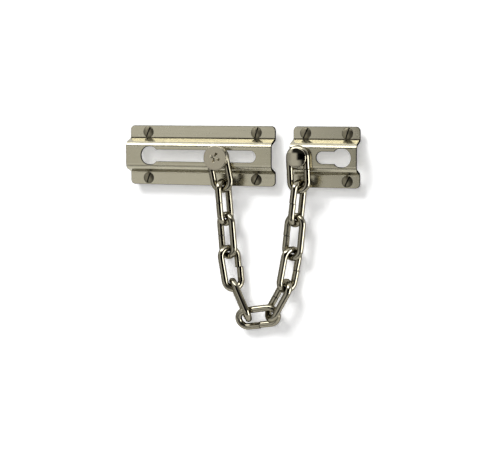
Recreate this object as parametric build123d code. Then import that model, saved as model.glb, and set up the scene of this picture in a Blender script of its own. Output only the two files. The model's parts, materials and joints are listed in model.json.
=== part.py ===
from build123d import *
from math import atan2, cos, radians, sin, sqrt, tan
import os

# Nickel-plated door chain: two folded keyhole plates, two studs and a chain of bent wire links.
# Millimetres. X runs along the plates, Z is up and the wall is the plane Y = 0, so that everything
# stands forward of it, towards -Y. The origin is the middle of the door plate's four screws.

# Folded sheet, the same section for both plates
SHEET = 1.6
CHANNEL_RISE = 8.0
CHANNEL_SPLAY = 3.0
FACE_BEND_RADIUS = 4.0
FOOT_BEND_RADIUS = 0.8
FLANGE_CORNER_RADIUS = 2.8

# Door plate, measured inwards from its two ends
DOOR_PLATE_LENGTH = 99.0
DOOR_SCREW_INSET = 12.5
ENTRY_HOLE_INSET = 16.5
SLOT_END_INSET = 14.0

# Frame plate, measured inwards from its two ends: the stud from the left, the parking hole from the right
PLATE_GAP = 12.0
FRAME_PLATE_LENGTH = 43.0
FRAME_SCREW_INSET = 8.0
FRAME_STUD_INSET = 6.3
PARKING_HOLE_INSET = 9.6
PARKING_SLOT_RUN = 12.4

# Raised countersunk wood screws, in a row along each flange
SCREW_HEAD_DIAMETER = 6.8
SCREW_SHANK_DIAMETER = 3.5
SCREW_LENGTH = 20.0
SCREW_POINT_LENGTH = 4.5
SCREW_DOME_RISE = 0.6
SCREW_SLOT_WIDTH = 0.9
SCREW_SLOT_DEPTH = 1.0
SCREW_TO_FOOT = 0.4
SCREW_TO_EDGE = 0.8
SCREW_HOLE_PLAY = 0.2
SEAT_CLEARANCE = 0.05

# Bent wire links
WIRE_DIAMETER = 4.2
LINK_LENGTH = 30.1
LINK_SIDE_PLAY = 2.6
LINK_GAP = 0.75
SEAM_GAP = 0.3
SEAM_BEVEL = 0.25

# Studs: a neck that carries the chain's end link, between a head and the plate
NECK_PLAY = 1.4
NECK_END_PLAY = 0.3
RUNNING_GAP = 0.3
SLOT_SIDE_PLAY = 1.05
SLIDE_REST_FROM_SLOT_END = 20.8
BUTTON_DIAMETER = 11.2
BUTTON_THICKNESS = 2.5
BUTTON_CHAMFER = 0.6
BUTTON_SIDE_PLAY = 0.54
ENTRY_PLAY = 0.4
SLIDE_HEAD_DIAMETER = 15.6
SLIDE_HEAD_THICKNESS = 2.2
SLIDE_SHANK_DIAMETER = 3.4
RECESS_LENGTH = 6.6
RECESS_WIDTH = 1.5
RECESS_DEPTH = 1.4
RECESS_TAPER = 10.0
FRAME_HEAD_DIAMETER = 12.6
FRAME_HEAD_THICKNESS = 2.2
FRAME_HEAD_DOME_RISE = 1.0
HEAD_EDGE_RADIUS = 0.6
RIVET_DIAMETER = 4.0
RIVET_TAIL_DIAMETER = 6.6
RIVET_TAIL_HEIGHT = 1.4

# Turns of the driven heads about their own axes, in degrees from upright
SCREW_SLOT_TURNS = (24, 17, 20, 27)
RECESS_TURN = 20

# Hang of the chain in degrees, from each stud downwards: how far a link leans from plumb towards the
# middle, how far it rolls about its length with its right side to the viewer, and its side with the seam
LEFT_LEANS = (12.0, 5.0, 5.0, 10.0, 24.8)
LEFT_ROLLS = (0.0, -76.0, 28.0, -42.0, 63.0)
LEFT_SEAMS = (-1, -1, -1, 1, -1)
RIGHT_LEANS = (-3.0, 6.0, 6.0, 10.5, 29.0)
RIGHT_ROLLS = (0.0, -76.0, 16.0, -55.0, 48.0)
RIGHT_SEAMS = (1, -1, -1, 1, -1)

# The bottom link lies across the two halves of the chain, a little off the middle of their last pivots
BOTTOM_TILT = 9.84
BOTTOM_ROLL = 17.28
BOTTOM_SEAM = -1
BOTTOM_SLACK = 5.06
BOTTOM_SHIFT = -1.02
BOTTOM_SETBACK = 1.22
BOTTOM_DROP = 1.59

# Sizes of a link and of what it runs on
WIRE_RADIUS = WIRE_DIAMETER / 2
LINK_INNER_WIDTH = WIRE_DIAMETER + LINK_SIDE_PLAY
BEND_RADIUS = (LINK_INNER_WIDTH + WIRE_DIAMETER) / 2
STRAIGHT = LINK_LENGTH - WIRE_DIAMETER - 2 * BEND_RADIUS
NECK_RADIUS = (LINK_INNER_WIDTH - NECK_PLAY) / 2
SLOT_WIDTH = 2 * (NECK_RADIUS + SLOT_SIDE_PLAY)
STUD_DROP = SLOT_SIDE_PLAY - RUNNING_GAP
BUTTON_RADIUS = BUTTON_DIAMETER / 2
ENTRY_RADIUS = BUTTON_RADIUS + ENTRY_PLAY

# Section of the channel, as half widths from its middle line, wide enough inside for the button
SPLAY_ANGLE = atan2(CHANNEL_SPLAY, CHANNEL_RISE)
INNER_FACE = BUTTON_RADIUS + STUD_DROP + BUTTON_SIDE_PLAY
INNER_FOOT = INNER_FACE + CHANNEL_SPLAY
OUTER_FACE = INNER_FACE + SHEET / cos(SPLAY_ANGLE) - SHEET * tan(SPLAY_ANGLE)
OUTER_FOOT = OUTER_FACE + CHANNEL_SPLAY
SCREW_HEAD_RADIUS = SCREW_HEAD_DIAMETER / 2
SCREW_SHANK_RADIUS = SCREW_SHANK_DIAMETER / 2
SCREW_ROW = OUTER_FOOT + SCREW_TO_FOOT + SCREW_HEAD_RADIUS
PLATE_HALF_HEIGHT = SCREW_ROW + SCREW_HEAD_RADIUS + SCREW_TO_EDGE

# Depths from the wall, all towards the viewer
FLANGE_FRONT = -SHEET
FACE_BACK = -CHANNEL_RISE
FACE_FRONT = FACE_BACK - SHEET
CHAIN_PLANE = FACE_FRONT - NECK_END_PLAY - WIRE_RADIUS
HEAD_BACK = CHAIN_PLANE - WIRE_RADIUS - NECK_END_PLAY
BUTTON_FRONT = FACE_BACK + RUNNING_GAP
BUTTON_BACK = BUTTON_FRONT + BUTTON_THICKNESS

# Places along the plates
DOOR_LEFT = -DOOR_PLATE_LENGTH / 2
DOOR_RIGHT = DOOR_PLATE_LENGTH / 2
FRAME_LEFT = DOOR_RIGHT + PLATE_GAP
FRAME_RIGHT = FRAME_LEFT + FRAME_PLATE_LENGTH
ENTRY_X = DOOR_LEFT + ENTRY_HOLE_INSET
SLOT_END_X = DOOR_RIGHT - SLOT_END_INSET
PARKING_HOLE_X = FRAME_RIGHT - PARKING_HOLE_INSET
PARKING_SLOT_X = PARKING_HOLE_X - PARKING_SLOT_RUN
SLIDE_STUD = Vector(SLOT_END_X - SLIDE_REST_FROM_SLOT_END, CHAIN_PLANE, -STUD_DROP)
FRAME_STUD = Vector(FRAME_LEFT + FRAME_STUD_INSET, CHAIN_PLANE, 0)

# Steps down the chain: from a neck's axis to the first bend, and from a pivot to the bend on it
NECK_TO_BEND = BEND_RADIUS - WIRE_RADIUS - NECK_RADIUS - LINK_GAP
PIVOT_TO_BEND = BEND_RADIUS - WIRE_RADIUS - LINK_GAP / 2
BOTTOM_SPAN = STRAIGHT + 2 * PIVOT_TO_BEND - BOTTOM_SLACK

# Room that a cutter runs past the surface that it cuts
CUT_PAST = 1.0
TO_VIEWER = Vector(0, -1, 0)

# Search for the swing that closes the chain: its limits and how often they are halved
SWING_LIMITS = (-2.0, 4.0)
HALVINGS = 60


def rounded(face, corner, radius):
    """The flat outline with its corner nearest to the given point rounded."""
    return fillet(face.vertices().sort_by_distance(corner)[0], radius)


def turned(*outline):
    """A solid turned about Y from corner points of radius and depth."""
    return revolve(make_face(Polyline(*outline, close=True)), Axis.Y)


def dome(crown, rise, radius):
    """Arc of a domed head's profile, from its crown on the axis out to its rim."""
    sphere = (radius ** 2 + rise ** 2) / (2 * rise)
    half_way = radius / 2
    half_depth = crown + sphere - sqrt(sphere ** 2 - half_way ** 2)
    return ThreePointArc((0, crown), (half_way, half_depth), (radius, crown + rise))


def folded_sheet(left, length):
    """A plate's blank: two flanges on the wall and a raised channel between them, open at both ends."""
    half = PLATE_HALF_HEIGHT
    section = make_face(
        Polyline(
            (0, half),
            (FLANGE_FRONT, half),
            (FLANGE_FRONT, OUTER_FOOT),
            (FACE_FRONT, OUTER_FACE),
            (FACE_FRONT, -OUTER_FACE),
            (FLANGE_FRONT, -OUTER_FOOT),
            (FLANGE_FRONT, -half),
            (0, -half),
            (0, -INNER_FOOT),
            (FACE_BACK, -INNER_FACE),
            (FACE_BACK, INNER_FACE),
            (0, INNER_FOOT),
            close=True,
        )
    )
    for side in (-1, 1):
        section = rounded(section, (FACE_FRONT, side * OUTER_FACE), FACE_BEND_RADIUS)
        section = rounded(section, (FACE_BACK, side * INNER_FACE), FACE_BEND_RADIUS - SHEET)
        section = rounded(section, (FLANGE_FRONT, side * OUTER_FOOT), FOOT_BEND_RADIUS)
        section = rounded(section, (0, side * INNER_FOOT), FOOT_BEND_RADIUS + SHEET)
    sheet = Pos(left, 0, 0) * extrude(Plane.YZ * section, length)
    return fillet(sheet.edges().filter_by(Axis.Y), FLANGE_CORNER_RADIUS)


def keyhole(hole_x, slot_end_x):
    """Cutter for a round hole that runs into a slot, through the channel's face."""
    slot = SlotCenterToCenter(abs(slot_end_x - hole_x), SLOT_WIDTH)
    outline = Pos((hole_x + slot_end_x) / 2, 0) * slot + Pos(hole_x, 0) * Circle(ENTRY_RADIUS)
    behind = Plane.XZ.offset(CHANNEL_RISE - CUT_PAST)
    return extrude(behind * outline, SHEET + 2 * CUT_PAST)


def screw_places(left, right, inset):
    """The four screw positions of a plate: upper pair, then lower pair, from the left."""
    return [Pos(x, 0, z) for z in (SCREW_ROW, -SCREW_ROW) for x in (left + inset, right - inset)]


def screw_hole():
    """Cutter for one countersunk hole, which also clears the channel's foot beside the head."""
    rim = SCREW_HEAD_RADIUS + SEAT_CLEARANCE * sqrt(2)
    bore = SCREW_SHANK_RADIUS + SCREW_HOLE_PLAY
    front = FLANGE_FRONT - SCREW_DOME_RISE
    return turned(
        (0, front), (rim, front), (rim, FLANGE_FRONT), (bore, FLANGE_FRONT + rim - bore),
        (bore, CUT_PAST), (0, CUT_PAST),
    )


def wood_screw(slot_turn):
    """A slotted screw whose raised head fills its countersink and whose point stands in the wall."""
    crown = FLANGE_FRONT - SCREW_DOME_RISE
    tip = FLANGE_FRONT + SCREW_LENGTH
    profile = [
        dome(crown, SCREW_DOME_RISE, SCREW_HEAD_RADIUS),
        Polyline(
            (SCREW_HEAD_RADIUS, FLANGE_FRONT),
            (SCREW_SHANK_RADIUS, FLANGE_FRONT + SCREW_HEAD_RADIUS - SCREW_SHANK_RADIUS),
            (SCREW_SHANK_RADIUS, tip - SCREW_POINT_LENGTH),
            (0, tip),
            (0, crown),
        ),
    ]
    slot = Box(SCREW_SLOT_WIDTH, 2 * SCREW_SLOT_DEPTH, SCREW_HEAD_DIAMETER)
    return revolve(make_face(profile), Axis.Y) - Pos(0, crown, 0) * Rot(0, slot_turn, 0) * slot


def screw_set(places):
    """The screws of one plate, as separate solids."""
    return Compound(children=[place * wood_screw(turn) for place, turn in zip(places, SCREW_SLOT_TURNS)])


def door_plate(screws):
    """The long plate, with an entry hole on the left and a slot that the stud slides along."""
    plate = folded_sheet(DOOR_LEFT, DOOR_PLATE_LENGTH) - keyhole(ENTRY_X, SLOT_END_X)
    return plate - [place * screw_hole() for place in screws]


def frame_plate(screws):
    """The short plate, with a hole for its riveted stud and a keyhole to park the sliding stud in."""
    plate = folded_sheet(FRAME_LEFT, FRAME_PLATE_LENGTH) - keyhole(PARKING_HOLE_X, PARKING_SLOT_X)
    bore = RIVET_DIAMETER / 2 + SEAT_CLEARANCE
    back = FACE_BACK + CUT_PAST
    front = FACE_FRONT - CUT_PAST
    rivet_hole = Pos(FRAME_STUD.X, 0, 0) * turned((0, back), (bore, back), (bore, front), (0, front))
    return plate - rivet_hole - [place * screw_hole() for place in screws]


def slide_bush():
    """The sliding stud's neck, with the button that holds it behind the slot."""
    bore = SLIDE_SHANK_DIAMETER / 2 + SEAT_CLEARANCE
    bush = turned(
        (bore, HEAD_BACK),
        (NECK_RADIUS, HEAD_BACK),
        (NECK_RADIUS, BUTTON_FRONT),
        (BUTTON_RADIUS - BUTTON_CHAMFER, BUTTON_FRONT),
        (BUTTON_RADIUS, BUTTON_FRONT + BUTTON_CHAMFER),
        (BUTTON_RADIUS, BUTTON_BACK),
        (bore, BUTTON_BACK),
    )
    return Pos(SLIDE_STUD.X, 0, SLIDE_STUD.Z) * bush


def slide_screw():
    """The wide flat head that keeps the chain on the neck, with a cross recess and a shank in the bush."""
    head = SLIDE_HEAD_DIAMETER / 2
    shank = SLIDE_SHANK_DIAMETER / 2
    front = HEAD_BACK - SLIDE_HEAD_THICKNESS
    profile = make_face(
        Polyline(
            (0, front), (head, front), (head, HEAD_BACK), (shank, HEAD_BACK), (shank, BUTTON_BACK),
            (0, BUTTON_BACK), close=True,
        )
    )
    screw = revolve(rounded(profile, (head, front), HEAD_EDGE_RADIUS), Axis.Y)
    cross = Rectangle(RECESS_LENGTH, RECESS_WIDTH) + Rectangle(RECESS_WIDTH, RECESS_LENGTH)
    mouth = Plane((0, front, 0), x_dir=(1, 0, 0), z_dir=(0, 1, 0)) * Rot(0, 0, RECESS_TURN)
    recess = mouth * extrude(cross, RECESS_DEPTH, taper=RECESS_TAPER)
    return Pos(SLIDE_STUD.X, 0, SLIDE_STUD.Z) * (screw - recess)


def frame_stud():
    """The fixed stud: domed head and neck in one, riveted through the frame plate's face."""
    head = FRAME_HEAD_DIAMETER / 2
    rivet = RIVET_DIAMETER / 2
    tail = RIVET_TAIL_DIAMETER / 2
    crown = HEAD_BACK - FRAME_HEAD_THICKNESS
    rim = (head, crown + FRAME_HEAD_DOME_RISE)
    tail_end = FACE_BACK + RIVET_TAIL_HEIGHT
    profile = [
        dome(crown, FRAME_HEAD_DOME_RISE, head),
        Polyline(
            rim, (head, HEAD_BACK), (NECK_RADIUS, HEAD_BACK), (NECK_RADIUS, FACE_FRONT), (rivet, FACE_FRONT),
            (rivet, FACE_BACK), (tail, FACE_BACK), (rivet, tail_end), (0, tail_end), (0, crown),
        ),
    ]
    stud = revolve(rounded(make_face(profile), rim, HEAD_EDGE_RADIUS), Axis.Y)
    return Pos(FRAME_STUD.X, 0, FRAME_STUD.Z) * stud


def half_chain(stud, leans, rolls, side):
    """Centre, length direction and width direction of each link below a stud, and the last pivot."""
    poses = []
    pivot = stud
    to_bend = NECK_TO_BEND
    for lean, roll in zip(leans, rolls):
        along = Vector(side * sin(radians(lean)), 0, -cos(radians(lean)))
        level = Vector(-along.Z, 0, along.X)
        across = level * cos(radians(roll)) + TO_VIEWER * sin(radians(roll))
        poses.append((pivot + along * (to_bend + STRAIGHT / 2), along, across))
        pivot = pivot + along * (to_bend + STRAIGHT + PIVOT_TO_BEND)
        to_bend = PIVOT_TO_BEND
    return poses, pivot


def hang(swing):
    """Both halves of the chain with every lean multiplied by the same swing."""
    left = half_chain(SLIDE_STUD, [swing * lean for lean in LEFT_LEANS], LEFT_ROLLS, 1)
    right = half_chain(FRAME_STUD, [swing * lean for lean in RIGHT_LEANS], RIGHT_ROLLS, -1)
    return left, right


def closing_swing():
    """The swing that leaves the two last pivots as far apart as the bottom link needs, by halving."""
    slack, tight = SWING_LIMITS
    for _ in range(HALVINGS):
        swing = (slack + tight) / 2
        (_, left_pivot), (_, right_pivot) = hang(swing)
        if right_pivot.X - left_pivot.X > BOTTOM_SPAN:
            slack = swing
        else:
            tight = swing
    return swing


def bottom_pose(left_pivot, right_pivot):
    """Centre and directions of the link that joins the two halves, lower on its left."""
    tilt = radians(BOTTOM_TILT)
    roll = radians(BOTTOM_ROLL)
    along = Vector(cos(tilt), 0, sin(tilt))
    across = Vector(-sin(tilt), 0, cos(tilt)) * cos(roll) + TO_VIEWER * sin(roll)
    middle = (left_pivot + right_pivot) / 2
    return middle + Vector(BOTTOM_SHIFT, BOTTOM_SETBACK, -BOTTOM_DROP), along, across


def wire_link(pose, seam):
    """One link: round wire bent into a long ring whose two ends meet in the middle of one side."""
    centre, along, across = pose
    side = seam * BEND_RADIUS
    half = STRAIGHT / 2
    start = (SEAM_GAP / 2, side)
    path = [
        Line(start, (half, side)),
        ThreePointArc((half, side), (half + BEND_RADIUS, 0), (half, -side)),
        Line((half, -side), (-half, -side)),
        ThreePointArc((-half, -side), (-half - BEND_RADIUS, 0), (-half, side)),
        Line((-half, side), (-SEAM_GAP / 2, side)),
    ]
    wire = sweep(Plane(start, z_dir=(1, 0, 0)) * Circle(WIRE_RADIUS), Wire(path))
    ends = wire.faces().filter_by(Axis.X)
    link = chamfer(ends.edges(), SEAM_BEVEL)
    return Plane(centre, x_dir=along, z_dir=along.cross(across)) * link


def chain():
    """Every link by its number, down from the sliding stud, across, and up to the fixed stud."""
    (left, left_pivot), (right, right_pivot) = hang(closing_swing())
    poses = left + [bottom_pose(left_pivot, right_pivot)] + right[::-1]
    seams = LEFT_SEAMS + (BOTTOM_SEAM,) + RIGHT_SEAMS[::-1]
    return {f"link_{n:02d}": wire_link(*one) for n, one in enumerate(zip(poses, seams), start=1)}


def main():
    door_screws = screw_places(DOOR_LEFT, DOOR_RIGHT, DOOR_SCREW_INSET)
    frame_screws = screw_places(FRAME_LEFT, FRAME_RIGHT, FRAME_SCREW_INSET)
    nodes = {
        "door_plate": door_plate(door_screws),
        "frame_plate": frame_plate(frame_screws),
        "door_plate_screws": screw_set(door_screws),
        "frame_plate_screws": screw_set(frame_screws),
        "slide_bush": slide_bush(),
        "slide_screw": slide_screw(),
        "frame_stud": frame_stud(),
        **chain(),
    }
    os.makedirs("parts", exist_ok=True)
    for name, node in nodes.items():
        export_step(node, f"parts/{name}.step")


main()
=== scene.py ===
import bmesh
import bpy
import json
import numpy as np
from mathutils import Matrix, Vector
from mathutils.geometry import delaunay_2d_cdt


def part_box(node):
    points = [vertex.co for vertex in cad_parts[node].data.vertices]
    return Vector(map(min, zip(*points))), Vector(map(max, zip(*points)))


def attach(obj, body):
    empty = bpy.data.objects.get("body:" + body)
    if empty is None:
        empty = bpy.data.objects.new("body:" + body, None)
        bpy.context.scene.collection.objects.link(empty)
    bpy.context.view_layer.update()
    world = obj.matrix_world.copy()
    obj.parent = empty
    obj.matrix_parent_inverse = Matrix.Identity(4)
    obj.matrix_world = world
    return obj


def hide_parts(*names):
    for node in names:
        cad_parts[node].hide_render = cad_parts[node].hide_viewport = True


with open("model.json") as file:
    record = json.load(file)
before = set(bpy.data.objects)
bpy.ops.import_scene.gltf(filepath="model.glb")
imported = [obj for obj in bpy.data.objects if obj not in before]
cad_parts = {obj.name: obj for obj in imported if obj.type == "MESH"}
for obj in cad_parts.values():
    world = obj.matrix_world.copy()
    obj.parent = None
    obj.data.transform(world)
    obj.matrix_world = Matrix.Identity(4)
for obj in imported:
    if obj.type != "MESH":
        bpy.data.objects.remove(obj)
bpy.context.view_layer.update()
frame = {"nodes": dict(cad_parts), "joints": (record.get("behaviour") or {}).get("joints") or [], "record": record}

# Door plate and frame plate
# Two strips of 1.6 mm steel, blanked with a keyhole and countersunk holes, folded to a hat section in a
# press and plated with nickel. Each is drawn as its flat blank, which is then folded as the press does.
MM = 0.001
SHEET = 1.6 * MM
CHANNEL_RISE = 8.0 * MM
CHANNEL_SPLAY = 3.0 * MM
FACE_HALF_WIDTH = 8.0 * MM
FACE_BEND_RADIUS = 4.0 * MM
FOOT_BEND_RADIUS = 0.8 * MM
FLANGE_CORNER_RADIUS = 2.8 * MM
EDGE_ROUND = 0.22 * MM
ENTRY_RADIUS = 6.0 * MM
SLOT_HALF_WIDTH = 3.75 * MM
COUNTERSINK_RIM = 3.6 * MM
SCREW_BORE = 1.95 * MM
RIVET_BORE = 2.05 * MM
PARKING_HOLE_INSET = 9.6 * MM
PARKING_SLOT_RUN = 12.4 * MM
FOLD_SAMPLES = 8001
STEPS_PER_BEND = 12
STEPS_PER_CORNER = 12
STEPS_PER_ROUND = 4
ENTRY_STEPS = 56
SLOT_END_STEPS = 28
COUNTERSINK_STEPS = 48
RIVET_BORE_STEPS = 32
HOLE_MARGIN = 0.25 * MM
MERGE_DISTANCE = 0.002 * MM
FILL_TOLERANCE = 1e-9
SHARP_ANGLE = np.radians(38)
PATTERN_LOW = 0.12
PATTERN_HIGH = 0.40
SATIN, SHEARED, CREASED, DARKER_FACE = range(4)
mounts = {mount["name"]: mount for mount in frame["record"]["mounts"]}
joints = {joint["name"]: joint for joint in frame["joints"]}


def linear(hex_colour):
    """Linear RGBA of an sRGB hex colour, by the two-part curve from display values to light."""
    display = np.array([int(hex_colour[i:i + 2], 16) / 255 for i in (1, 3, 5)])
    light = np.where(display <= 0.04045, display / 12.92, ((display + 0.055) / 1.055) ** 2.4)
    return (*light.tolist(), 1.0)


def add_node(tree, kind, settings=None, **inputs):
    """Adds a shader node with its settings, and sets or links each input, by name or as i and a number."""
    node = tree.nodes.new(kind)
    for name, value in (settings or {}).items():
        setattr(node, name, value)
    for name, value in inputs.items():
        key = int(name[1:]) if name[1:].isdigit() else name.replace("_", " ")
        if isinstance(value, bpy.types.NodeSocket):
            tree.links.new(value, node.inputs[key])
        else:
            node.inputs[key].default_value = value
    return node


def nickel(
    name, colours, gloss, clouds_mm, lines_mm, line_stretch, relief_mm, glancing="#ffffff", lay=None
):
    """Nickel plate on steel: clouds of tint and gloss, and hairlines drawn along the pattern's first axis.

    Roughness follows clouds times lines. Real hairlines are finer, and these are as coarse as they need to
    be to show. The pattern lies on Object coordinates, or on the named attribute along a bent wire."""
    material = bpy.data.materials.new(name)
    material.use_nodes = True
    tree = material.node_tree
    shader = tree.nodes["Principled BSDF"]
    if lay:
        place = add_node(tree, "ShaderNodeAttribute", {"attribute_name": lay}).outputs["Vector"]
    else:
        place = add_node(tree, "ShaderNodeTexCoord").outputs["Object"]
    clouds = add_node(
        tree, "ShaderNodeTexNoise", Vector=place, Scale=1 / (clouds_mm * MM), Detail=3.0, Roughness=0.6
    ).outputs["Fac"]
    drawn = add_node(tree, "ShaderNodeMapping", Vector=place, Scale=(1 / line_stretch, 1.0, 1.0)).outputs[0]
    lines = add_node(
        tree, "ShaderNodeTexNoise", Vector=drawn, Scale=1 / (lines_mm * MM), Detail=4.0, Roughness=0.65
    ).outputs["Fac"]
    tint = add_node(
        tree, "ShaderNodeMix", {"data_type": "RGBA"},
        i0=clouds, i6=linear(colours[0]), i7=linear(colours[1]),
    ).outputs[2]
    blend = add_node(tree, "ShaderNodeMath", {"operation": "MULTIPLY"}, i0=clouds, i1=lines).outputs[0]
    rough = add_node(
        tree, "ShaderNodeMapRange", Value=blend,
        From_Min=PATTERN_LOW, From_Max=PATTERN_HIGH, To_Min=gloss[0], To_Max=gloss[1],
    ).outputs[0]
    bump = add_node(tree, "ShaderNodeBump", Strength=1.0, Distance=relief_mm * MM, Height=lines).outputs[0]
    tree.links.new(tint, shader.inputs["Base Color"])
    tree.links.new(rough, shader.inputs["Roughness"])
    tree.links.new(bump, shader.inputs["Normal"])
    shader.inputs["Metallic"].default_value = 1.0
    shader.inputs["Specular Tint"].default_value = linear(glancing)
    return material


def add_piece(name, node, body, patches, finishes, lay=None):
    """One closed mesh in place of a CAD node, from patches of points, faces and the number of their finish.

    Points that meet are merged, edges past a set angle stay sharp, and lay names and gives an attribute."""
    starts = np.cumsum([0] + [len(points) for points, _, _ in patches])
    faces = [face for (_, part, _), start in zip(patches, starts) for face in (part + start).tolist()]
    face_finishes = np.concatenate([np.full(len(part), finish) for _, part, finish in patches])
    mesh = bpy.data.meshes.new(name)
    mesh.from_pydata(np.concatenate([points for points, _, _ in patches]).tolist(), [], faces)
    mesh.polygons.foreach_set("material_index", face_finishes)
    if lay is not None:
        mesh.attributes.new(lay[0], "FLOAT_VECTOR", "POINT").data.foreach_set("vector", lay[1].ravel())
    work = bmesh.new()
    work.from_mesh(mesh)
    bmesh.ops.remove_doubles(work, verts=work.verts, dist=MERGE_DISTANCE)
    bmesh.ops.dissolve_degenerate(work, edges=work.edges, dist=MERGE_DISTANCE / 2)
    bmesh.ops.delete(work, geom=[point for point in work.verts if not point.link_faces], context="VERTS")
    bmesh.ops.recalc_face_normals(work, faces=work.faces)
    work.to_mesh(mesh)
    work.free()
    mesh.shade_smooth()
    mesh.set_sharp_from_angle(angle=SHARP_ANGLE)
    for finish in finishes:
        mesh.materials.append(finish)
    piece = bpy.data.objects.new(name, mesh)
    bpy.context.scene.collection.objects.link(piece)
    piece.modifiers.new("even_shading", "WEIGHTED_NORMAL").keep_sharp = True
    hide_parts(node)
    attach(piece, body)


def grid_faces(rows, columns, closed_rows=False, closed_columns=True):
    """Quads of a grid of points numbered row by row, joined end to end where it is closed."""
    i = np.arange(rows if closed_rows else rows - 1)[:, None]
    j = np.arange(columns if closed_columns else columns - 1)[None, :]
    below = (i + 1) % rows
    beside = (j + 1) % columns
    corners = [i * columns + j, i * columns + beside, below * columns + beside, below * columns + j]
    return np.stack(np.broadcast_arrays(*corners), axis=-1).reshape(-1, 4)


def arc(centre, radius, start, end, steps):
    """Points of a flat arc between two angles in degrees, both ends included."""
    turn = np.radians(np.linspace(start, end, steps + 1))
    return np.array(centre) + radius * np.stack([np.cos(turn), np.sin(turn)], axis=-1)


def clockwise(loop):
    """The loop in clockwise order, so that its normals point into the hole that it bounds."""
    area = np.sum(loop[:, 0] * np.roll(loop[:, 1], -1) - loop[:, 1] * np.roll(loop[:, 0], -1))
    return loop[::-1] if area > 0 else loop


def outset(loop, distance):
    """The loop moved along its normals, each square to the chord between the neighbouring points."""
    chord = np.roll(loop, -1, axis=0) - np.roll(loop, 1, axis=0)
    normal = np.stack([chord[:, 1], -chord[:, 0]], axis=-1)
    return loop + distance * normal / np.linalg.norm(normal, axis=1, keepdims=True)


def inside(points, loop):
    """Which points lie in a closed loop: those with an odd number of its edges to their right."""
    start = loop
    end = np.roll(loop, -1, axis=0)
    rise = np.where(end[:, 1] == start[:, 1], 1.0, end[:, 1] - start[:, 1])
    crosses = (start[:, 1] > points[:, 1:]) != (end[:, 1] > points[:, 1:])
    reach = start[:, 0] + (points[:, 1:] - start[:, 1]) * (end[:, 0] - start[:, 0]) / rise
    return (crosses & (points[:, :1] < reach)).sum(axis=1) % 2 == 1


def fill(outline, holes=(), lines=()):
    """Flat points and triangles that fill an outline round its holes and meet along straight lines."""
    loops = [outline, *holes]
    sizes = [len(loop) for loop in loops]
    starts = np.cumsum([0] + sizes)
    points = np.concatenate([*loops, *lines])
    rings = [
        start + np.stack([np.arange(size), np.roll(np.arange(size), -1)], axis=-1)
        for size, start in zip(sizes, starts)
    ]
    straight = starts[-1] + np.arange(2 * len(lines)).reshape(-1, 2)
    edges = np.concatenate([*rings, straight]).tolist()
    made = delaunay_2d_cdt([Vector(point) for point in points.tolist()], edges, [], 0, FILL_TOLERANCE)
    flat = np.array([tuple(point) for point in made[0]])
    triangles = np.array(made[2])
    middle = flat[triangles].mean(axis=1)
    keep = inside(middle, outline)
    for hole in holes:
        keep &= ~inside(middle, hole)
    return flat, triangles[keep]


def fold_line(half_height):
    """The folded section's front line: depth, height and heading against the run across the blank.

    The heading turns evenly through each bend and holds on each flat; the line is its running sum."""
    turn = np.arctan2(CHANNEL_RISE, CHANNEL_SPLAY)
    foot_cut = FOOT_BEND_RADIUS * np.tan(turn / 2)
    face_cut = FACE_BEND_RADIUS * np.tan(turn / 2)
    flange = half_height - FACE_HALF_WIDTH - CHANNEL_SPLAY - foot_cut
    slope = np.hypot(CHANNEL_RISE, CHANNEL_SPLAY) - foot_cut - face_cut
    foot = FOOT_BEND_RADIUS * turn
    bend = FACE_BEND_RADIUS * turn
    face = 2 * (FACE_HALF_WIDTH - face_cut)
    corners = np.cumsum([0, flange, foot, slope, bend, face, bend, slope, foot, flange])
    headings = np.cumsum([0, 0, turn, 0, -turn, 0, -turn, 0, turn, 0])
    run = np.unique(np.concatenate([corners, np.linspace(0, corners[-1], FOLD_SAMPLES)]))
    heading = np.interp(run, corners, headings)
    middle = (heading[1:] + heading[:-1]) / 2
    depth = -SHEET - np.concatenate([[0], np.cumsum(np.sin(middle) * np.diff(run))])
    height = half_height - np.concatenate([[0], np.cumsum(np.cos(middle) * np.diff(run))])
    return run, depth, height, heading, corners


def folded(flat, below):
    """Points of the blank, at a depth below its front, carried to the folded sheet."""
    slope = np.interp(flat[:, 1], fold_run, fold_heading)
    back = np.interp(flat[:, 1], fold_run, fold_depth) + below * np.cos(slope)
    up = np.interp(flat[:, 1], fold_run, fold_height) - below * np.sin(slope)
    return np.stack([flat[:, 0], back, up], axis=-1)


def keyhole(hole_x, slot_end_x):
    """Loop of a round hole in the middle of the blank that runs into a slot with a round end."""
    mouth = np.degrees(np.arcsin(SLOT_HALF_WIDTH / ENTRY_RADIUS))
    hole = arc((0, 0), ENTRY_RADIUS, mouth, 360 - mouth, ENTRY_STEPS)
    end = arc((abs(slot_end_x - hole_x), 0), SLOT_HALF_WIDTH, -90, 90, SLOT_END_STEPS)
    loop = np.concatenate([hole, end]) * (np.sign(slot_end_x - hole_x), 1)
    return clockwise(loop + (hole_x, blank_width / 2))


def clear_lines(run, loops):
    """The parts of a straight line along the blank, at one run across it, that keep clear of its holes."""
    ends = [loops[0][:, 0].min(), loops[0][:, 0].max()]
    for hole in loops[1:]:
        side = np.sign(run - (hole[:, 1].min() + hole[:, 1].max()) / 2)
        beyond = hole[side * (hole[:, 1] - run) > -HOLE_MARGIN][:, 0]
        if len(beyond):
            ends += [beyond.min() - HOLE_MARGIN, beyond.max() + HOLE_MARGIN]
    return [np.array([(start, run), (end, run)]) for start, end in np.sort(ends).reshape(-1, 2)]


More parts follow.
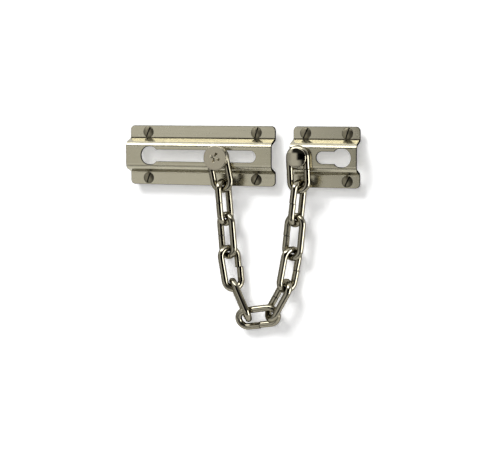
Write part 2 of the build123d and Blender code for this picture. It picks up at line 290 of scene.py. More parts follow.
def folded_plate(node, screws, keyhole_loop, rivets=()):
    """A plate from its blank: front skin, back skin, and each cut edge as a profile carried round its loop.

    A profile is a distance out from the loop and a depth below the front. Bends run from the top down."""
    low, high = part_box(node)
    corner = FLANGE_CORNER_RADIUS
    centres = [(high.x - corner, blank_width - corner), (low.x + corner, blank_width - corner)]
    centres += [(low.x + corner, corner), (high.x - corner, corner)]
    bends = fold_corners[1:-1].reshape(4, 2)
    upper_foot, upper_face, lower_face, _ = bends
    stations = np.linspace(bends[:, 0], bends[:, 1], STEPS_PER_BEND + 1).T.ravel()
    left, right = (np.stack([0 * stations + x, stations], axis=-1) for x in (low.x, high.x))
    corners = [arc(place, corner, 90 * k, 90 * k + 90, STEPS_PER_CORNER) for k, place in enumerate(centres)]
    outline = np.concatenate([*corners[:2], left[::-1], *corners[2:], right])
    half_x = screws["dims"]["spacing_x_mm"] * MM / 2
    row = high.z - screws["dims"]["spacing_y_mm"] * MM / 2
    rows = (row, blank_width - row)
    places = [(screws["pos_m"][0] + side * half_x, run) for side in (-1, 1) for run in rows]
    quarter = np.linspace(0, np.pi / 2, STEPS_PER_ROUND + 1)
    edge = EDGE_ROUND * np.stack([np.sin(quarter) - 1, 1 - np.cos(quarter)], axis=-1)
    punched = np.concatenate([edge, edge[::-1] * (1, -1) + (0, SHEET)])
    cone = COUNTERSINK_RIM - SCREW_BORE
    countersunk = np.array([(0, 0), (cone, cone), (cone, SHEET)])
    cuts = [(outline, punched), (keyhole_loop, punched)]
    for place in places:
        cuts.append((clockwise(arc(place, COUNTERSINK_RIM, 0, 360, COUNTERSINK_STEPS)[:-1]), countersunk))
    for place in rivets:
        cuts.append((clockwise(arc(place, RIVET_BORE, 0, 360, RIVET_BORE_STEPS)[:-1]), punched))
    patches = []
    for loop, profile in cuts:
        rings = [folded(outset(loop, out), below) for out, below in profile]
        patches.append((np.concatenate(rings), grid_faces(len(profile), len(loop)), SHEARED))
    for end in (0, -1):
        loops = [outset(loop, profile[end][0]) for loop, profile in cuts]
        lines = [line for run in stations for line in clear_lines(run, loops)]
        flat, triangles = fill(loops[0], loops[1:], lines)
        across = flat[triangles][:, :, 1].mean(axis=1)
        # Triangles in the upper fold's crease take the painted shade film
        creased = (across > upper_foot[0]) & (across < upper_foot[1])
        # Triangles on the channel's face take the darker copy of the nickel
        on_face = (across > upper_face[1]) & (across < lower_face[0])
        points = folded(flat, punched[end][1])
        patches.append((points, triangles[~creased & ~on_face], SATIN))
        patches.append((points, triangles[creased], CREASED))
        patches.append((points, triangles[on_face], DARKER_FACE))
    add_piece(f"{node}_folded", node, "plates", patches, [satin_nickel, sheared_edge_with_painted_shade, painted_shade_film, darker_face_nickel])


# Barrel-plated nickel over rolled sheet: soft grey-gold reflections with faint lines along the rolling
# direction. The channel's face takes a darker copy of the same nickel.
rolled_sheet = dict(gloss=(0.21, 0.29), clouds_mm=7.0, lines_mm=1.0, line_stretch=18, relief_mm=0.0014)
satin_nickel = nickel("satin_nickel_on_rolled_sheet", ("#a39e89", "#b1ac99"), **rolled_sheet)
darker_face_nickel = nickel("rubbed_nickel_on_rolled_sheet", ("#9a9580", "#a8a38f"), **rolled_sheet)
# Thin plating where the punch sheared the sheet: a dull edge, made darker still with painted shade, whose
# dark glancing tint keeps it dark where it would show the white paper
sheared_edge_with_painted_shade = nickel(
    "thin_nickel_on_sheared_edge", ("#211f19", "#33302a"), gloss=(0.32, 0.45),
    clouds_mm=2.0, lines_mm=0.7, line_stretch=3, relief_mm=0.004, glancing="#66635a",
)
# Painted shade in the crease of the upper fold and in the screw slots: a matt dark film over the metal
painted_shade_film = nickel(
    "grime_on_nickel", ("#26231c", "#3d392f"), gloss=(0.5, 0.65),
    clouds_mm=1.0, lines_mm=0.4, line_stretch=1, relief_mm=0.006,
)
fold_run, fold_depth, fold_height, fold_heading, fold_corners = fold_line(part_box("door_plate")[1].z)
blank_width = fold_corners[-1]
slide_x = joints["link_01_swing"]["pos_m"][0]
entry_x, slot_end_x = (slide_x + limit for limit in joints["stud_slide"]["range_m"])
folded_plate("door_plate", mounts["door_plate_screws"], keyhole(entry_x, slot_end_x))
parking_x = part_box("frame_plate")[1].x - PARKING_HOLE_INSET
frame_stud_x = joints["link_11_swing"]["pos_m"][0]
folded_plate(
    "frame_plate", mounts["frame_plate_screws"], keyhole(parking_x, parking_x - PARKING_SLOT_RUN),
    [(frame_stud_x, blank_width / 2)],
)

# Screws of both plates
# Slotted wood screws with raised countersunk heads, turned and rolled from steel wire and dulled by
# handling. Each sits in its plate's countersink, and its thread stands in the wood behind.
HEAD_RADIUS = 3.4 * MM
DOME_RISE = 0.6 * MM
SLOT_HALF = 0.45 * MM
SLOT_BELOW_RIM = 0.4 * MM
SHANK_RADIUS = 1.75 * MM
THREAD_CORE = 1.2 * MM
THREAD_PITCH = 1.4 * MM
THREAD_START = 6.0 * MM
THREAD_FADE = 1.5 * MM
RIDGE_STEEPNESS = 1.5
SCREW_LENGTH = 20.0 * MM
POINT_LENGTH = 4.5 * MM
HEAD_ROWS = 13
HEAD_COLUMNS = 27
THREAD_ROWS = 150
SLOT_TURNS = np.radians([24, 17, 20, 27])
DULLED, IN_SLOT = range(2)


def domed(across, along, crown, rise, radius):
    """Depth of a spherical dome with the given rise at a radius, over a flat place."""
    sphere = (radius ** 2 + rise ** 2) / (2 * rise)
    return crown + sphere - np.sqrt(sphere ** 2 - across ** 2 - along ** 2)


def wood_screw():
    """Patches of one screw on the Y axis with its slot upright.

    The head is rows of points across the slot, each as long as the circle is wide there; the slot's floor
    ends on the cone below the rim, which has a gap there. The shank's radius swells in a ridge where depth
    and turn agree with the pitch."""
    rim = -SHEET
    tip = rim + SCREW_LENGTH
    right = HEAD_RADIUS * np.cos(np.linspace(np.arccos(SLOT_HALF / HEAD_RADIUS), 0, HEAD_ROWS))
    share = np.linspace(-1, 1, HEAD_COLUMNS)
    floor_radius = HEAD_RADIUS - SLOT_BELOW_RIM
    slot = np.array([-SLOT_HALF, -SLOT_HALF, 0, SLOT_HALF, SLOT_HALF])
    floor = np.array([False, True, True, True, False])
    dome = np.zeros(len(right), bool)
    patches = []
    strips = ((-right[::-1], dome, DULLED), (slot, floor, IN_SLOT), (right, dome, DULLED))
    for across, flat, finish in strips:
        reach = np.where(flat, floor_radius, HEAD_RADIUS)
        along = share * np.sqrt(np.maximum(reach ** 2 - across ** 2, 0))[:, None]
        wide = np.broadcast_to(across[:, None], along.shape)
        raised = domed(wide, along, rim - DOME_RISE, DOME_RISE, HEAD_RADIUS)
        depth = np.where(flat[:, None], rim + SLOT_BELOW_RIM, raised)
        points = np.stack([wide, depth, along], axis=-1).reshape(-1, 3)
        patches.append((points, grid_faces(len(across), len(share), closed_columns=False), finish))
    angles = []
    for radius in (HEAD_RADIUS, floor_radius):
        spread = SLOT_HALF + (right - SLOT_HALF) * (radius - SLOT_HALF) / (HEAD_RADIUS - SLOT_HALF)
        edge = np.concatenate([spread[::-1], [0], -spread])
        half = np.arccos(edge / radius)
        angles.append(np.concatenate([half, 2 * np.pi - half[-2:0:-1]]))
    around = angles[0]
    depth = np.linspace(rim + HEAD_RADIUS - SHANK_RADIUS, tip, THREAD_ROWS)[:, None]
    turns = (depth - rim) / THREAD_PITCH - around / (2 * np.pi)
    ridge = np.maximum(0, 1 - RIDGE_STEEPNESS * np.abs(2 * (turns % 1) - 1))
    cut = np.clip((depth - rim - THREAD_START) / THREAD_FADE, 0, 1)
    point = np.clip((tip - depth) / POINT_LENGTH, 0, 1)
    radius = point * (SHANK_RADIUS - (SHANK_RADIUS - THREAD_CORE) * cut * (1 - ridge))
    head = np.array([HEAD_RADIUS, floor_radius])[:, None]
    radius = np.concatenate([head + 0 * around, radius])
    depth = np.concatenate([rim + HEAD_RADIUS - head, depth]) + 0 * around
    angle = np.concatenate([angles, np.broadcast_to(around, (THREAD_ROWS, len(around)))])
    shank = np.stack([radius * np.cos(angle), depth, radius * np.sin(angle)], axis=-1)
    faces = grid_faces(len(radius), len(around))
    slot_ends = len(right) - 1 + np.array([0, 1, len(around) // 2, len(around) // 2 + 1])
    patches.append((shank.reshape(-1, 3), np.delete(faces, slot_ends, axis=0), DULLED))
    return patches


def driven(patches, place, turn):
    """Patches turned about Y and moved to a place on the wall."""
    cos, sin = np.cos(turn), np.sin(turn)
    spin = np.array([(cos, 0, -sin), (0, 1, 0), (sin, 0, cos)])
    return [(points @ spin + place, faces, finish) for points, faces, finish in patches]


# Nickel dulled by handling and the driver: the same metal with less gloss, and painted shade in the slot
dull_nickel = nickel(
    "dull_nickel_on_screw_steel", ("#75705e", "#888270"), gloss=(0.30, 0.40),
    clouds_mm=1.6, lines_mm=0.5, line_stretch=1, relief_mm=0.003,
)
for node in ("door_plate_screws", "frame_plate_screws"):
    half_x, half_z = (mounts[node]["dims"][f"spacing_{axis}_mm"] * MM / 2 for axis in "xy")
    middle = np.array(mounts[node]["pos_m"])
    places = [middle + (x, 0, z) for z in (half_z, -half_z) for x in (-half_x, half_x)]
    patches = []
    for place, turn in zip(places, SLOT_TURNS):
        patches += driven(wood_screw(), place, turn)
    add_piece(f"{node}_slotted", node, "plates", patches, [dull_nickel, painted_shade_film])

# Frame stud
# A turned stud with a polished domed head, its neck through the chain's last link and its tail riveted
# over behind the frame plate's face. Bright nickel on turned steel.
FACE_FRONT = -9.6 * MM
FACE_BACK = -8.0 * MM
HEAD_BACK = -14.4 * MM
HEAD_FRONT = -16.6 * MM
NECK_RADIUS = 2.7 * MM
STUD_HEAD_RADIUS = 6.3 * MM
STUD_DOME_RISE = 1.0 * MM
STUD_EDGE_ROUND = 0.6 * MM
BACK_EDGE_ROUND = 0.3 * MM
RIVET_RADIUS = 2.0 * MM
RIVET_TAIL_RADIUS = 3.3 * MM
RIVET_TAIL_END = -6.6 * MM
RING_STEPS = 72
CROWN_POINTS = 25
STUD_EDGE_STEPS = 8
BACK_EDGE_STEPS = 4
TAIL_STEPS = 12


def rounded_back(radius, depth):
    """Quarter round from a turned rim to the flat behind it, as points of radius and depth."""
    centre = (radius - BACK_EDGE_ROUND, depth - BACK_EDGE_ROUND)
    return arc(centre, BACK_EDGE_ROUND, 0, 90, BACK_EDGE_STEPS)


def turned(profile, place, closed=False):
    """A profile of radius and depth turned about an axis along Y through a place, in the first finish."""
    around = 2 * np.pi * np.arange(RING_STEPS) / RING_STEPS
    radius, depth = profile[:, :1], profile[:, 1:]
    points = np.stack([radius * np.cos(around), depth + 0 * around, radius * np.sin(around)], axis=-1)
    return points.reshape(-1, 3) + place, grid_faces(len(profile), RING_STEPS, closed_rows=closed), 0


# Bright nickel over a polished turning: near-mirror with a little haze and faint turning marks
bright_nickel = nickel(
    "bright_nickel_on_turned_steel", ("#958f7e", "#a19c8a"), gloss=(0.07, 0.13),
    clouds_mm=5.0, lines_mm=0.8, line_stretch=1, relief_mm=0.0006,
)
rim_slope = 2 * STUD_DOME_RISE * STUD_HEAD_RADIUS / (STUD_HEAD_RADIUS ** 2 + STUD_DOME_RISE ** 2)
rim_tilt = np.arcsin(rim_slope)
dome_end = STUD_HEAD_RADIUS - STUD_EDGE_ROUND * (1 - np.sin(rim_tilt))
crown_run = np.linspace(0, dome_end, CROWN_POINTS)
crown = np.stack([crown_run, domed(crown_run, 0, HEAD_FRONT, STUD_DOME_RISE, STUD_HEAD_RADIUS)], axis=-1)
round_centre = crown[-1] + STUD_EDGE_ROUND * np.array([-np.sin(rim_tilt), np.cos(rim_tilt)])
edge = arc(round_centre, STUD_EDGE_ROUND, np.degrees(rim_tilt) - 90, 0, STUD_EDGE_STEPS)
back_edge = rounded_back(STUD_HEAD_RADIUS, HEAD_BACK)
neck = [(NECK_RADIUS, HEAD_BACK), (NECK_RADIUS, FACE_FRONT)]
rivet = [(RIVET_RADIUS, FACE_FRONT), (RIVET_RADIUS, FACE_BACK)]
tail = arc((0, 0), 1, 0, 90, TAIL_STEPS) * (RIVET_TAIL_RADIUS, RIVET_TAIL_END - FACE_BACK) + (0, FACE_BACK)
stud = np.concatenate([crown, edge[1:], back_edge, neck, rivet, tail])
add_piece(
    "frame_stud_turned", "frame_stud", "plates", [turned(stud, (frame_stud_x, 0, 0))], [bright_nickel]
)

# Sliding stud
# A bright turned bush whose button runs behind the door plate's slot, and a wide flat screw with a cross
# recess that keeps the chain's first link on the bush. The screw's head has a satin face.
BUSH_BORE = 1.75 * MM
BUTTON_RADIUS = 5.6 * MM
BUTTON_FRONT = -7.7 * MM
BUTTON_BACK = -5.2 * MM
BUTTON_CHAMFER = 0.6 * MM
SLIDE_HEAD_RADIUS = 7.8 * MM
SLIDE_EDGE_ROUND = 0.6 * MM
SLIDE_EDGE_STEPS = 6
SLIDE_SHANK = 1.7 * MM
RECESS_TURN = np.radians(-20)
RECESS_ARM = 3.3 * MM
RECESS_HALF_WIDTH = 0.8 * MM
RECESS_CORNER = 0.4 * MM
RECESS_CORNER_STEPS = 4
RECESS_DEPTHS = np.array([0, 0.15, 1.4]) * MM
RECESS_ARM_CUTS = np.array([0, 0.12, 1.5]) * MM
RECESS_WIDTH_CUTS = np.array([0, 0.1, 0.35]) * MM
FACED, IN_RECESS = range(2)


def cross(arm, half_width):
    """Counter-clockwise loop of a cross with rounded inner corners: one arm, turned four times."""
    inner = half_width + RECESS_CORNER
    corner = arc((inner, inner), RECESS_CORNER, 270, 180, RECESS_CORNER_STEPS)
    one = np.concatenate([[(arm, -half_width), (arm, half_width)], corner])
    turns = RECESS_TURN + np.arange(4) * np.pi / 2
    cos, sin = np.cos(turns), np.sin(turns)
    spin = np.stack([cos, sin, -sin, cos], axis=-1).reshape(4, 2, 2)
    return (one @ spin).reshape(-1, 2)


def upright(flat, depth, place):
    """Flat points set upright, facing the room, at a depth before the wall."""
    return np.stack([flat[:, 0], np.full(len(flat), depth), flat[:, 1]], axis=-1) + place


slide_place = (slide_x, 0, joints["link_01_swing"]["pos_m"][2])
bush = np.concatenate([
    [(BUSH_BORE, HEAD_BACK), (NECK_RADIUS, HEAD_BACK), (NECK_RADIUS, BUTTON_FRONT)],
    [(BUTTON_RADIUS - BUTTON_CHAMFER, BUTTON_FRONT), (BUTTON_RADIUS, BUTTON_FRONT + BUTTON_CHAMFER)],
    rounded_back(BUTTON_RADIUS, BUTTON_BACK),
    [(BUSH_BORE, BUTTON_BACK)],
])
bush_ring = turned(bush, slide_place, closed=True)
add_piece("slide_bush_turned", "slide_bush", "slide_stud", [bush_ring], [bright_nickel])
flat_radius = SLIDE_HEAD_RADIUS - SLIDE_EDGE_ROUND
front_edge = arc(
    (flat_radius, HEAD_FRONT + SLIDE_EDGE_ROUND), SLIDE_EDGE_ROUND, -90, 0, SLIDE_EDGE_STEPS
)
head_back = rounded_back(SLIDE_HEAD_RADIUS, HEAD_BACK)
shank = [(SLIDE_SHANK, HEAD_BACK), (SLIDE_SHANK, BUTTON_BACK), (0, BUTTON_BACK)]
patches = [turned(np.concatenate([front_edge, head_back, shank]), slide_place)]
loops = [cross(RECESS_ARM - a, RECESS_HALF_WIDTH - w) for a, w in zip(RECESS_ARM_CUTS, RECESS_WIDTH_CUTS)]
walls = [upright(loop, HEAD_FRONT + depth, slide_place) for loop, depth in zip(loops, RECESS_DEPTHS)]
patches.append((np.concatenate(walls), grid_faces(len(loops), len(loops[0])), IN_RECESS))
rim_loop = arc((0, 0), flat_radius, 0, 360, RING_STEPS)[:-1]
flat, triangles = fill(rim_loop, [loops[0]])
patches.append((upright(flat, HEAD_FRONT, slide_place), triangles, FACED))
flat, triangles = fill(loops[-1])
patches.append((upright(flat, HEAD_FRONT + RECESS_DEPTHS[-1], slide_place), triangles, IN_RECESS))
# Satin nickel over a turned face: a soft grey shine
satin_head = nickel(
    "satin_nickel_on_turned_head", ("#918a79", "#9e9886"), gloss=(0.15, 0.23),
    clouds_mm=5.0, lines_mm=0.6, line_stretch=1, relief_mm=0.0012,
)
add_piece("slide_screw_recessed", "slide_screw", "slide_stud", patches, [satin_head, bright_nickel])

# Chain links
# Eleven links of drawn steel wire, bent round a former until the two ends butt in the middle of one side,
# and barrel-plated in bright nickel. The first hangs on the bush, the last on the frame stud's neck.
WIRE_RADIUS = 2.1 * MM
LINK_BEND_RADIUS = 5.5 * MM
LINK_HALF_STRAIGHT = 7.45 * MM
SEAM_HALF_GAP = 0.06 * MM
SEAM_BEVEL = 0.2 * MM
SEAM_REACH = 4.0 * MM
SEAM_STEPS_MM = {
    "link_02": (-0.15, 0.1), "link_04": (0.45, 0.1), "link_06": (0.2, 0.0), "link_09": (0.15, 0.1)
}
USUAL_SEAM_STEP_MM = (0.08, 0.08)
WIRE_STEPS = 32
BEND_POINTS = 41
SEAM_SIDE_POINTS = 12
FAR_SIDE_POINTS = 17
CAP_ROWS = 2
DOWN_CHAIN = np.array([0.3, 0.0, -1.0])
TO_THE_RIGHT = np.array([1.0, 0.0, 0.4])
WIRE_LAY = "along_the_wire"
PLATED, BUTTED = range(2)


def link_place(node):
    """Middle of a CAD link, its directions along, across and through, and the side that has its seam.

    The directions are the principal axes of its surface; only the seam has points half way along it."""
    mesh = frame["nodes"][node].data
    mesh.calc_loop_triangles()
    points = np.empty(3 * len(mesh.vertices))
    mesh.vertices.foreach_get("co", points)
    points = points.reshape(-1, 3)
    corners = np.empty(3 * len(mesh.loop_triangles), dtype=np.int32)
    mesh.loop_triangles.foreach_get("vertices", corners)
    triangles = points[corners.reshape(-1, 3)]
    sides = triangles[:, 1:] - triangles[:, :1]
    area = np.linalg.norm(np.cross(sides[:, 0], sides[:, 1]), axis=1)
    spread = triangles - np.average(triangles.mean(axis=1), axis=0, weights=area)
    middle = spread.sum(axis=1)
    moment = np.einsum("t,ti,tj->ij", area, middle, middle)
    moment += np.einsum("t,tki,tkj->ij", area, spread, spread)
    _, axes = np.linalg.eigh(moment)
    along = axes[:, 2] * np.sign(axes[:, 2] @ DOWN_CHAIN)
    across = axes[:, 1] * np.sign(axes[:, 1] @ TO_THE_RIGHT)
    basis = np.stack([along, across, np.cross(along, across)])
    local = points @ basis.T
    centre = (local.min(axis=0) + local.max(axis=0)) / 2
    local = local - centre
    seam = np.sign(local[np.abs(local[:, 0]) < LINK_HALF_STRAIGHT / 3][:, 1].mean())
    return centre @ basis, basis, seam


def bent_link(node, step):
    """One link: a circle carried along a straight, a half turn, a straight, a half turn and a straight.

    Both ends are bevelled and closed, and bow apart by the given step across and through the link."""
    centre, basis, seam = link_place(node)
    bend, half = LINK_BEND_RADIUS, LINK_HALF_STRAIGHT
    turn = np.linspace(0, np.pi, BEND_POINTS)[1:-1]
    cap = np.array([0, 0, SEAM_BEVEL])
    after_cap = np.linspace(SEAM_BEVEL, half - SEAM_HALF_GAP, SEAM_SIDE_POINTS)[1:]
    first = SEAM_HALF_GAP + np.concatenate([cap, after_cap])
    straight = np.linspace(half, -half, FAR_SIDE_POINTS)
    round_end = half + bend * np.sin(turn)
    run = np.concatenate([first, round_end, straight, -round_end, -first[::-1]])
    seam_side = np.ones(len(first))
    far_side = np.ones(len(straight))
    lift = np.concatenate([seam_side, np.cos(turn), -far_side, -np.cos(turn), seam_side])
    tilt = np.concatenate([0 * seam_side, np.sin(turn), 0 * far_side, -np.sin(turn), 0 * seam_side])
    size = np.full(len(run), WIRE_RADIUS)
    size[[0, -1]] = 0
    size[[1, -2]] = WIRE_RADIUS - SEAM_BEVEL
    at_seam = (lift == 1) * np.exp(-(run / SEAM_REACH) ** 2) * np.sign(run)
    line = np.stack([run, seam * bend * lift + step[0] * at_seam, step[1] * at_seam], axis=-1)
    outward = np.stack([tilt, seam * lift, 0 * run], axis=-1)
    around = 2 * np.pi * np.arange(WIRE_STEPS)[:, None] / WIRE_STEPS
    through = np.array([0, 0, 1])
    ring = np.cos(around) * outward[:, None, :] + np.sin(around) * through
    local = line[:, None, :] + size[:, None, None] * ring
    points = local.reshape(-1, 3) @ basis + centre
    length = np.concatenate([[0], np.cumsum(np.linalg.norm(np.diff(line, axis=0), axis=1))])
    wire = np.broadcast_arrays(
        length[:, None], size[:, None] * np.cos(around[:, 0]), size[:, None] * np.sin(around[:, 0])
    )
    lay = np.stack(wire, axis=-1).reshape(-1, 3)
    faces = grid_faces(len(run), WIRE_STEPS)
    row = np.arange(len(faces)) // WIRE_STEPS
    ends = (row < CAP_ROWS) | (row >= len(run) - 1 - CAP_ROWS)
    # The butted ends take the dark sheared-edge finish: painted shade that draws the seam's gap as a dark line
    patches = [(points, faces[~ends], PLATED), (points, faces[ends], BUTTED)]
    lay = (WIRE_LAY, np.tile(lay, (len(patches), 1)))
    add_piece(f"{node}_bent", node, node, patches, [bright_wire, sheared_edge_with_painted_shade], lay)


# Bright nickel over drawn wire: a clear reflection broken by the fine lines that the drawing die left.
# Its dark glancing tint is a painted dark reflection along the wire's outline.
bright_wire = nickel(
    "bright_nickel_on_drawn_wire", ("#868171", "#948f7e"), gloss=(0.03, 0.06),
    clouds_mm=4.0, lines_mm=0.5, line_stretch=30, relief_mm=0.0006, glancing="#5c5a52", lay=WIRE_LAY,
)
for node in sorted(name for name in frame["nodes"] if name.startswith("link_")):
    bent_link(node, np.array(SEAM_STEPS_MM.get(node, USUAL_SEAM_STEP_MM)) * MM)

# Backdrop
# A white paper sweep behind the part, as in a photographer's studio: upright behind the plates, leaning
# forward to pass close behind the chain, and rounded at the foot into a short floor. Seen from behind it
# is clear, so that the part still shows.
PAPER_GAP = 6.5 * MM
PAPER_TOP = 0.55
PAPER_LEAN = np.array([(6.5, -28.0), (-2.5, -54.0)]) * MM
PAPER_FLOOR = -0.42
PAPER_ROUND = 0.12
PAPER_ROUND_STEPS = 16
PAPER_FRONT = -0.30
PAPER_HALF_WIDTH = 0.65
PAPER_GLOW = 0.42


def seen_rays(tree):
    """1 for a ray from the camera, a mirror or glass, and 0 for light on its way to other surfaces."""
    rays = add_node(tree, "ShaderNodeLightPath").outputs
    seen = rays["Is Camera Ray"]
    for ray in ("Is Glossy Ray", "Is Transmission Ray"):
        seen = add_node(tree, "ShaderNodeMath", {"operation": "MAXIMUM"}, i0=seen, i1=rays[ray]).outputs[0]
    return seen


foot_centre = (PAPER_LEAN[1, 0] - PAPER_ROUND, PAPER_FLOOR + PAPER_ROUND)
foot = arc(foot_centre, PAPER_ROUND, 0, -90, PAPER_ROUND_STEPS)
sweep = np.concatenate([[(PAPER_GAP, PAPER_TOP)], PAPER_LEAN, foot, [(PAPER_FRONT, PAPER_FLOOR)]])
side = np.array([-PAPER_HALF_WIDTH, PAPER_HALF_WIDTH])
points = np.stack(
    [np.tile(side, len(sweep)), np.repeat(sweep[:, 0], 2), np.repeat(sweep[:, 1], 2)], axis=-1
)
mesh = bpy.data.meshes.new("paper_sweep")
mesh.from_pydata(points.tolist(), [], grid_faces(len(sweep), 2, closed_columns=False)[:, ::-1].tolist())
mesh.shade_smooth()
paper_sweep = bpy.data.objects.new("paper_sweep", mesh)
bpy.context.scene.collection.objects.link(paper_sweep)
# Matt white paper: it keeps the part's soft shadow, and a glow for the eye and the metal makes it white
paper = bpy.data.materials.new("white_paper")
paper.use_nodes = True
tree = paper.node_tree
tree.nodes.clear()
glow = add_node(tree, "ShaderNodeMath", {"operation": "MULTIPLY"}, i0=seen_rays(tree), i1=PAPER_GLOW)
diffuse = add_node(tree, "ShaderNodeBsdfDiffuse", Color=linear("#e6e6e6"))
emission = add_node(tree, "ShaderNodeEmission", Strength=glow.outputs[0])
lit = add_node(tree, "ShaderNodeAddShader", i0=diffuse.outputs[0], i1=emission.outputs[0]).outputs[0]
clear = add_node(tree, "ShaderNodeBsdfTransparent").outputs[0]
behind = add_node(tree, "ShaderNodeNewGeometry").outputs["Backfacing"]
surface = add_node(tree, "ShaderNodeMixShader", i0=behind, i1=lit, i2=clear).outputs[0]
add_node(tree, "ShaderNodeOutputMaterial", Surface=surface)
mesh.materials.append(paper)

# Light tent
# The cloth room that bright metal is photographed in, seen in reflections only. It has six bands from the
# floor to overhead: grey on the left, dark where the camera stands, with white panels at the right and
# above. A band's light is given as degrees to the right of the front and level.
TENT_RADIUS = 1.5
TENT_CENTRE = np.array([0.03, 0.0, -0.05])
TENT_ROWS = 25
TENT_COLUMNS = 48
PANEL_LEVEL = 10.0
FLOOR_LIGHT = ((-180, 0.3), (-70, 0.3), (-42, 0.4), (-8, 0.4), (4, 0.15), (60, 0.15), (90, 0.3), (180, 0.3))
BELOW_LIGHT = (
    (-180, 0.3), (-60, 0.45), (-38, 0.95), (-29, 1.08), (-12, 1.08), (0, 0.6), (7, 0.06),
    (33, 0.06), (42, 0.35), (63, 0.35), (69, 9.0), (91, 9.0), (100, 0.3), (180, 0.3),
)
LEVEL_LIGHT = (
    (-180, 0.3), (-60, 0.45), (-38, 0.8), (-29, 1.1), (-16, 1.1), (-8, 0.0),
    (63, 0.0), (69, 9.0), (91, 9.0), (100, 0.3), (180, 0.3),
)
HIGH_LIGHT = (
    (-180, 0.45), (-75, 0.6), (-62, 1.4), (-36, 1.4), (-29, 0.03), (30, 0.03), (70, 0.3), (180, 0.45)
)
TOP_LIGHT = ((-180, 0.6), (-90, 0.8), (-70, 9.5), (5, 9.5), (30, 0.8), (180, 0.6))
ZENITH_LIGHT = ((-180, 1.5), (180, 1.5))
# Where each band blends into the next one up, as the sine of its height angle
BLENDS = ((-0.52, -0.40), (-0.17, -0.11), (0.22, 0.32), (0.60, 0.70), (0.78, 0.86))
rise = np.linspace(-np.pi / 2, np.pi / 2, TENT_ROWS)[:, None]
around = 2 * np.pi * np.arange(TENT_COLUMNS) / TENT_COLUMNS
points = np.stack(
    [np.cos(rise) * np.sin(around), -np.cos(rise) * np.cos(around), np.sin(rise) + 0 * around], axis=-1
)
mesh = bpy.data.meshes.new("light_tent")
tent_faces = grid_faces(TENT_ROWS, TENT_COLUMNS)
mesh.from_pydata((points.reshape(-1, 3) * TENT_RADIUS).tolist(), [], tent_faces.tolist())
mesh.shade_smooth()
tent = bpy.data.objects.new("light_tent", mesh)
bpy.context.scene.collection.objects.link(tent)
tent.location = TENT_CENTRE
tent.visible_camera = False
tent.visible_diffuse = False
tent.visible_shadow = False
# Lit cloth: it only glows, as bright as its band is on that side
cloth = bpy.data.materials.new("lit_tent_cloth")
cloth.use_nodes = True
tree = cloth.node_tree
tree.nodes.clear()
place = add_node(tree, "ShaderNodeTexCoord").outputs["Object"]
outward = add_node(tree, "ShaderNodeVectorMath", {"operation": "NORMALIZE"}, i0=place).outputs[0]
parts = add_node(tree, "ShaderNodeSeparateXYZ", Vector=outward).outputs
ahead = add_node(tree, "ShaderNodeMath", {"operation": "MULTIPLY"}, i0=parts["Y"], i1=-1.0).outputs[0]
azimuth = add_node(tree, "ShaderNodeMath", {"operation": "ARCTAN2"}, i0=parts["X"], i1=ahead).outputs[0]
turn = add_node(tree, "ShaderNodeMapRange", Value=azimuth, From_Min=-np.pi, From_Max=np.pi).outputs[0]
bands = []
for stops in (FLOOR_LIGHT, BELOW_LIGHT, LEVEL_LIGHT, HIGH_LIGHT, TOP_LIGHT, ZENITH_LIGHT):
    ramp = add_node(tree, "ShaderNodeValToRGB", Fac=turn)
    elements = ramp.color_ramp.elements
    while len(elements) < len(stops):
        elements.new(1.0)
    for element, (degrees, level) in zip(elements, stops):
        element.position = (degrees + 180) / 360
        element.color = (level / PANEL_LEVEL,) * 3 + (1.0,)
    bands.append(ramp.outputs[0])
light = bands[0]
for band, (lower, upper) in zip(bands[1:], BLENDS):
    share = add_node(
        tree, "ShaderNodeMapRange", {"interpolation_type": "SMOOTHSTEP"}, Value=parts["Z"],
        From_Min=lower, From_Max=upper,
    ).outputs[0]
    light = add_node(tree, "ShaderNodeMix", {"data_type": "RGBA"}, i0=share, i6=light, i7=band).outputs[2]
glow = add_node(tree, "ShaderNodeEmission", Color=light, Strength=PANEL_LEVEL)
add_node(tree, "ShaderNodeOutputMaterial", Surface=glow.outputs[0])
mesh.materials.append(cloth)

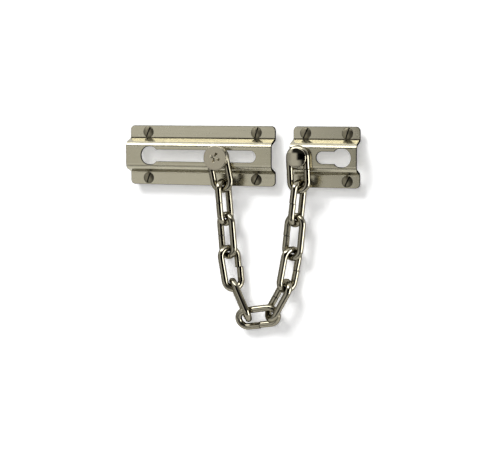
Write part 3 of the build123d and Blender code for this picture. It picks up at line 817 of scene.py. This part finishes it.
# Lamps and room
# A soft lamp at the upper left throws the shadow on the paper, and a weaker one in front fills it. The
# room is dim to the surfaces that it lights, and pale where the camera or the metal looks past the paper.
LAMP_SPREAD = np.radians(21)
SIDE_LEVEL = 2.2
TOWARDS_SIDE = Vector((-0.24, -0.75, 0.64))
FRONT_LEVEL = 0.68
TOWARDS_FRONT = Vector((0.10, -0.95, 0.26))
ROOM_LEVEL = 0.07
lamps = (("side_softbox", SIDE_LEVEL, TOWARDS_SIDE), ("front_softbox", FRONT_LEVEL, TOWARDS_FRONT))
for name, level, towards in lamps:
    lamp = bpy.data.objects.new(name, bpy.data.lights.new(name, "SUN"))
    lamp.data.energy = level
    lamp.data.angle = LAMP_SPREAD
    lamp.rotation_euler = towards.to_track_quat("Z", "Y").to_euler()
    lamp.visible_glossy = False
    bpy.context.scene.collection.objects.link(lamp)
world = bpy.data.worlds.new("pale_room")
world.use_nodes = True
tree = world.node_tree
background = tree.nodes["Background"]
background.inputs["Color"].default_value = linear("#f2f2f2")
pale = add_node(tree, "ShaderNodeMapRange", Value=seen_rays(tree), To_Min=ROOM_LEVEL, To_Max=1.0)
tree.links.new(pale.outputs[0], background.inputs["Strength"])
bpy.context.scene.world = world

# Camera
# It stands to the right of the plates and a little above the chain, with a long lens, at the place that
# fits the outlines of both plates in the photograph.
TARGET = Vector((32.13, 0.0, -51.0)) * MM
CAMERA_DISTANCE = 927.67 * MM
AZIMUTH = np.radians(20.0)
ELEVATION = np.radians(5.38)
LENS_MM = 105.2
NEAREST_SEEN = 0.05
camera = bpy.data.objects.new("camera", bpy.data.cameras.new("camera"))
level_back = Vector((np.sin(AZIMUTH), -np.cos(AZIMUTH), 0.0)) * np.cos(ELEVATION)
back = level_back + Vector((0.0, 0.0, np.sin(ELEVATION)))
camera.location = TARGET + CAMERA_DISTANCE * back
camera.rotation_euler = back.to_track_quat("Z", "Y").to_euler()
camera.data.lens = LENS_MM
camera.data.clip_start = NEAREST_SEEN
bpy.context.scene.collection.objects.link(camera)
bpy.context.scene.camera = camera
bpy.context.scene.view_settings.view_transform = "Standard"
